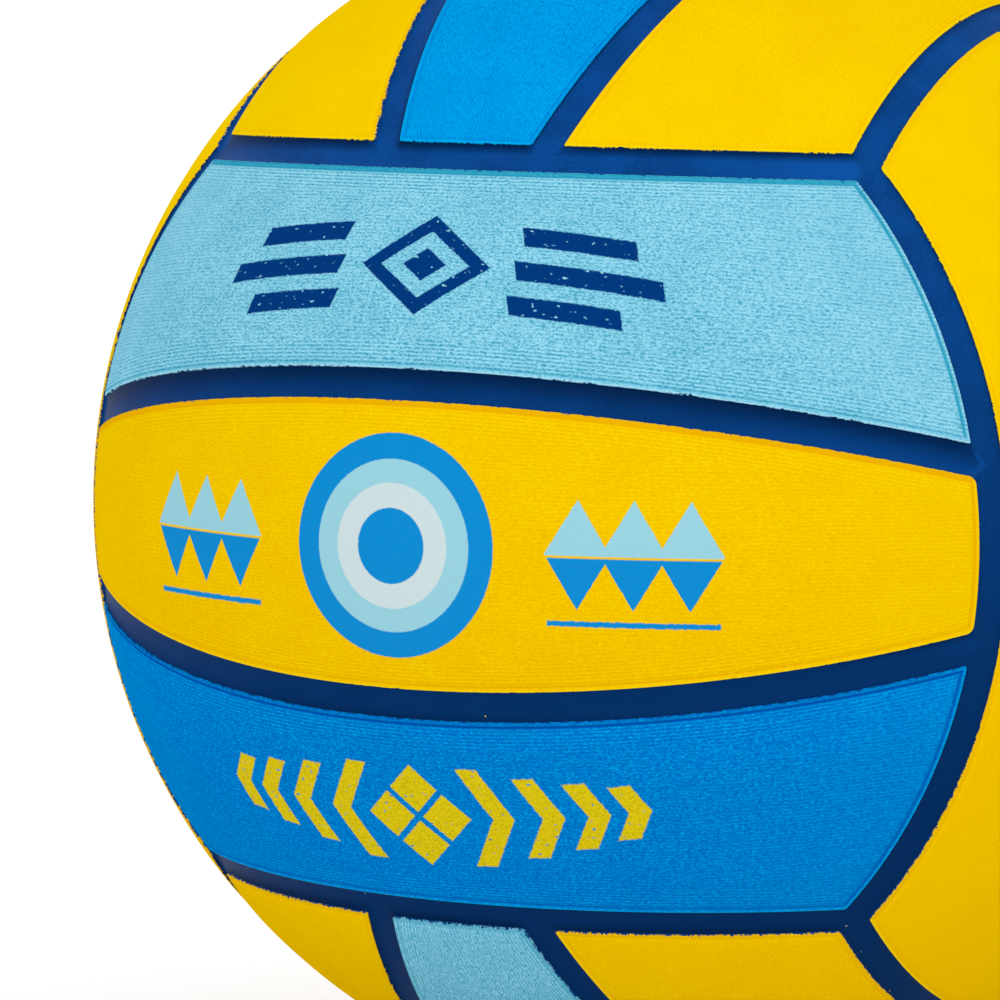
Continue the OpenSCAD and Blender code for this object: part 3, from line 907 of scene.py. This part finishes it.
def thread_material(context):
    """Thread wound over the bladder in crossing turns, as two families of parallel strands, with painted
    shade between them.
    """
    thread = tuple(context.scene.ball_colours.thread)
    material, tree, shader = new_material("wound_thread", Roughness=0.55, Specular_IOR_Level=0.3)
    x, y, z = axes(tree, object_mm(tree))
    one, other = ((along * 9).cosine() * 0.5 + 0.5 for along in (x * 0.6 + z * 0.8, y * 0.7 - z * 0.7))
    height = one.most(other)
    # Painted shade between the strands: darker where the winding is low
    colour = blend(tree, height.step(0.2, 0.9), shade(thread, 0.55), thread)
    finish_rubber(tree, shader, colour, height * 0.12)
    return material


# Operators

class BALL_OT_cover_panels(Operator):
    """Makes the eighteen cover panels, which replace their CAD nodes"""
    bl_idname = "ball.cover_panels"
    bl_label = "Cover panels"

    def execute(self, context):
        for name in PANELS:
            cover_panel(context, name)
        return {"FINISHED"}


class BALL_OT_carcass(Operator):
    """Makes the carcass, whose ribs are the floors of the channels"""
    bl_idname = "ball.carcass"
    bl_label = "Carcass"

    def execute(self, context):
        carcass(context)
        return {"FINISHED"}


class BALL_OT_valve(Operator):
    """Gives the valve's body and core their rubber"""
    bl_idname = "ball.valve"
    bl_label = "Valve"

    def execute(self, context):
        colours = context.scene.ball_colours
        for node, colour in (("valve_body", colours.valve), ("valve_core", colours.core)):
            dress(node, moulded_material("rubber_" + node, tuple(colour), 0.55))
        return {"FINISHED"}


class BALL_OT_inner_layers(Operator):
    """Gives the bladder and the thread winding their materials"""
    bl_idname = "ball.inner_layers"
    bl_label = "Bladder and winding"

    def execute(self, context):
        dress("bladder", moulded_material("rubber_bladder", tuple(context.scene.ball_colours.valve), 0.5))
        dress("thread_winding", thread_material(context))
        return {"FINISHED"}


def dress(node, material):
    """Puts a material on a CAD node that stays as it is."""
    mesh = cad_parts[node].data
    mesh.materials.clear()
    mesh.materials.append(material)


class BALL_OT_studio(Operator):
    """Makes the floor, the light and the camera"""
    bl_idname = "ball.studio"
    bl_label = "Studio"

    def execute(self, context):
        studio = context.scene.studio_sizes
        context.scene.view_settings.view_transform = "Standard"
        make_floor(CAD_BOX[0][2] - FLOOR_GAP)
        make_world(context.scene, studio.world_light)
        add_lamp("key_lamp", KEY_PLACE, KEY_WIDTH, studio.key_power)
        add_lamp("fill_lamp", FILL_PLACE, FILL_WIDTH, studio.fill_power)
        add_camera(context.scene, studio)
        return {"FINISHED"}


def make_floor(height):
    """A round floor, white where it is seen except in the ball's shade: rings of faces round a middle
    whose faces run straight across."""
    count = FLOOR_CORNERS
    turn = 2 * math.pi * np.arange(count) / count
    ring = np.stack([np.cos(turn), np.sin(turn), 0 * turn], -1)
    points = np.concatenate([ring * radius for radius in FLOOR_RADII]) + np.array([0, 0, height])
    a = np.arange(count)
    b = (a + 1) % count
    faces = [np.stack([a, a + count, b + count, b], -1) + count * k for k in range(len(FLOOR_RADII) - 1)]
    half = np.arange(count // 2)
    faces.append(np.stack([half[:-1], half[1:], count - 2 - half[:-1], count - 1 - half[:-1]], -1))
    mesh = build_mesh("studio_floor", points, np.concatenate(faces))
    material, tree, shader = new_material("studio_white", Roughness=0.9, Specular_IOR_Level=0.1,
                                          Base_Color=(0.92, 0.92, 0.92, 1), Emission_Color=(1, 1, 1, 1))
    feed(tree, shader.inputs["Emission Strength"], seen(tree) * 0.3)
    mesh.materials.append(material)
    add_object("studio_floor", mesh)


def seen(tree):
    """1 for what the camera sees, directly, in a reflection or through glass, and 0 for light."""
    path = new_node(tree, "LightPath")
    camera, glossy, through = (
        Term(tree, path.outputs[key]) for key in ("Is Camera Ray", "Is Glossy Ray", "Is Transmission Ray"))
    return camera.most(glossy).most(through)


def make_world(scene, strength):
    """Even light of the given strength from all round, white where it is seen."""
    world = bpy.data.worlds.new("studio")
    world.use_nodes = True
    tree = world.node_tree
    back = next(n for n in tree.nodes if n.type == "BACKGROUND")
    back.inputs["Color"].default_value = (1, 1, 1, 1)
    feed(tree, back.inputs["Strength"], seen(tree) * (1 - strength) + strength)
    scene.world = world


def add_lamp(name, place, size, power):
    """A round lamp that shines at the centre of the ball."""
    data = bpy.data.lights.new(name, "AREA")
    data.shape = "DISK"
    data.size = size
    data.energy = power
    turned = Vector(place).to_track_quat("Z", "Y").to_matrix().to_4x4()
    add_object(name, data).matrix_world = Matrix.Translation(place) @ turned


def add_camera(scene, studio):
    """The camera. right, up and back are the axes of a view towards the ball's centre, beside which the
    camera looks, so that the centre shows at BALL_PX."""
    view = Euler((math.pi / 2 - studio.view_rise, 0, studio.view_turn)).to_matrix()
    right, up, back = np.array(view @ Matrix.Rotation(studio.view_roll, 3, "Z")).T
    focal, middle = studio.lens / SENSOR_MM * studio.view_px, studio.view_px / 2
    ahead = unit(-back * focal - right * (BALL_PX[0] - middle) - up * (middle - BALL_PX[1]))
    across = unit(right - ahead * (right @ ahead))
    over = np.cross(across, ahead)
    matrix = np.eye(4)
    matrix[:3] = np.stack([across, over, -ahead, back * studio.view_far], -1)
    data = bpy.data.cameras.new("camera")
    data.lens = studio.lens
    data.sensor_width = SENSOR_MM
    data.clip_end = 50
    scene.camera = add_object("camera", data)
    scene.camera.matrix_world = Matrix(matrix.tolist())


class BALL_PT_panel(Panel):
    """Lists what the ball is made of"""
    bl_idname = "BALL_PT_panel"
    bl_label = "Water polo ball"
    bl_space_type = "VIEW_3D"
    bl_region_type = "UI"
    bl_category = "Ball"

    def draw(self, context):
        for group in SETTINGS:
            box = self.layout.box()
            values = getattr(context.scene, group)
            for key in type(values).__annotations__:
                box.prop(values, key)
        for operator in OPERATORS:
            self.layout.operator(operator.bl_idname)


OPERATORS = (BALL_OT_cover_panels, BALL_OT_carcass, BALL_OT_valve, BALL_OT_inner_layers, BALL_OT_studio)
SETTINGS = {"ball_sizes": BallSizes, "ball_colours": BallColours, "studio_sizes": StudioSizes}
CLASSES = (*SETTINGS.values(), *OPERATORS, BALL_PT_panel)


def register():
    for cls in CLASSES:
        bpy.utils.register_class(cls)
    for group, cls in SETTINGS.items():
        setattr(bpy.types.Scene, group, PointerProperty(type=cls))


def unregister():
    for group in SETTINGS:
        delattr(bpy.types.Scene, group)
    for cls in reversed(CLASSES):
        bpy.utils.unregister_class(cls)


def main():
    register()
    bpy.ops.ball.cover_panels()
    bpy.ops.ball.carcass()
    bpy.ops.ball.valve()
    bpy.ops.ball.inner_layers()
    bpy.ops.ball.studio()


if __name__ == "__main__":
    main()
